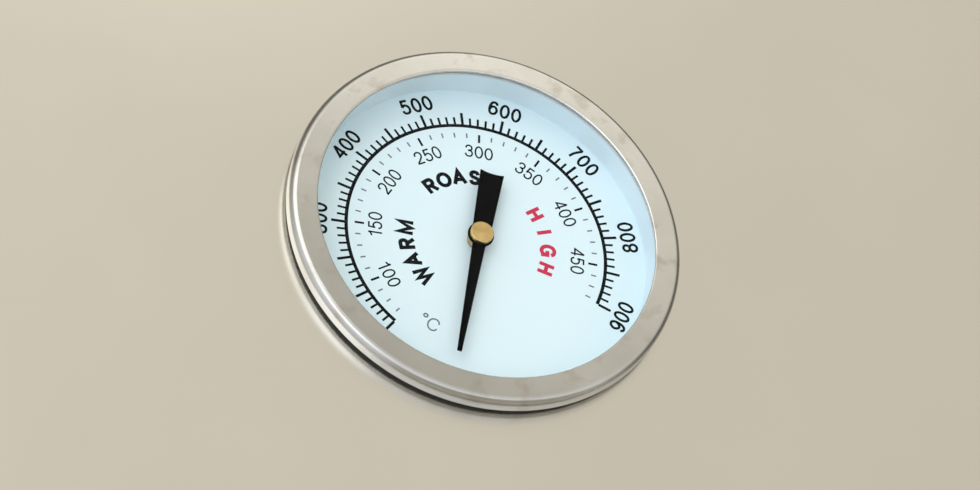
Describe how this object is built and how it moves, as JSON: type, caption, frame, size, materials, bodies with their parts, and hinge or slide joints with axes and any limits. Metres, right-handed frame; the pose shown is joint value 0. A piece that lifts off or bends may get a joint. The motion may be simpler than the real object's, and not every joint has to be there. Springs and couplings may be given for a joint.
{
  "type": "grill hood thermometer",
  "caption": "Round bimetal dial thermometer for a grill hood, with steel bezel, glass, printed scales, turning pointer, probe stem and a wing nut clamp behind the panel.",
  "frame": {"origin": "centre of the bezel gasket's seat, on the hood's outer surface", "axes": "+Y into the hood along the probe stem, +Z towards twelve o'clock on the dial, +X towards three o'clock"},
  "size_m": [0.08, 0.08, 0.08],
  "materials": {
    "bezel_steel": "satin, fine circular brushing",
    "case_steel": "drawn, dull",
    "lens_glass": "polished, clear",
    "black_rubber": "matte",
    "grey_silicone": "matte",
    "dial_enamel": "white enamel, satin, printed scales",
    "retainer_white": "white enamel, satin",
    "pointer_black": "black lacquer, matte",
    "turned_brass": "turned, satin",
    "spindle_steel": "drawn, bright",
    "bimetal_strip": "rolled, dull",
    "stem_steel": "polished",
    "fitting_steel": "turned",
    "seal_fibre": "matte",
    "zinc_plate": "zinc plated, satin"
  },
  "bodies": {
    "gauge": {"bezel_ring": "bezel_steel", "glass_lens": "lens_glass", "lens_gasket": "grey_silicone", "case_cup": "case_steel", "panel_gasket": "black_rubber", "dial_plate": "dial_enamel", "dial_retainer": "retainer_white", "front_bearing": "turned_brass", "stem_guide": "turned_brass", "bimetal_coil": "bimetal_strip", "stem_tube": "stem_steel", "stem_plug": "stem_steel", "stem_fitting": "fitting_steel", "fitting_seal": "seal_fibre", "jam_nut": "fitting_steel"},
    "needle": {"pointer": "pointer_black", "pointer_cap": "turned_brass", "pointer_bush": "turned_brass", "spindle": "spindle_steel", "coil_collar": "turned_brass"},
    "clamp": {"clamp_bracket": "zinc_plate", "flat_washer": "zinc_plate", "spring_washer": "zinc_plate"},
    "nut": {"wing_nut": "zinc_plate"}
  },
  "joints": [
    {"name": "pointer_turn", "type": "hinge", "parent": "gauge", "child": "needle", "pos_m": [0, 0, 0], "axis": [0, 1, 0], "range_deg": [-10.7, 283], "stiffness_Nm_per_rad": 0.00002, "deforming": ["bimetal_coil"]},
    {"name": "clamp_slide", "type": "slide", "parent": "gauge", "child": "clamp", "axis": [0, 1, 0], "range_m": [0, 0.01]},
    {"name": "wing_turn", "type": "hinge", "parent": "clamp", "child": "nut", "pos_m": [0, 0.026, 0], "axis": [0, 1, 0], "range_deg": [0, 2400]}
  ],
  "couplings": [
    {"joint": "wing_turn", "follows": "clamp_slide", "rad_per_m": 4188.8}
  ]
}
